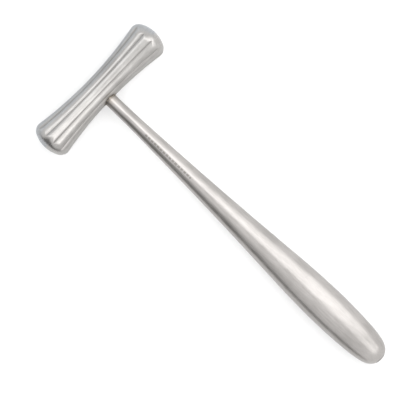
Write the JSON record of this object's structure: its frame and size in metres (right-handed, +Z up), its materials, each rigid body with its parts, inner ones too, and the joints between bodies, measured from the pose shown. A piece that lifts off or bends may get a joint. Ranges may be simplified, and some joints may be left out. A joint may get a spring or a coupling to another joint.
{
  "type": "reflex hammer",
  "caption": "All-steel percussion mallet with a waisted, reeded double-faced head and a slim hollow handle that swells to a round-ended grip.",
  "frame": {"origin": "on the supporting surface, under the middle of the bounding box, with the hammer lying on its side", "axes": "+X along the handle from the head to the tip, +Y along the head, +Z up"},
  "size_m": [0.242, 0.094, 0.0239],
  "materials": {
    "head_steel": "satin, fine lengthwise grain",
    "handle_steel": "satin, fine grain",
    "stud_steel": "as turned",
    "braze": "polished flush"
  },
  "bodies": {
    "root": {"head": "head_steel", "handle_shell": "handle_steel", "neck_stud": "stud_steel", "braze_ring": "braze", "end_plug": "handle_steel"}
  },
  "joints": []
}
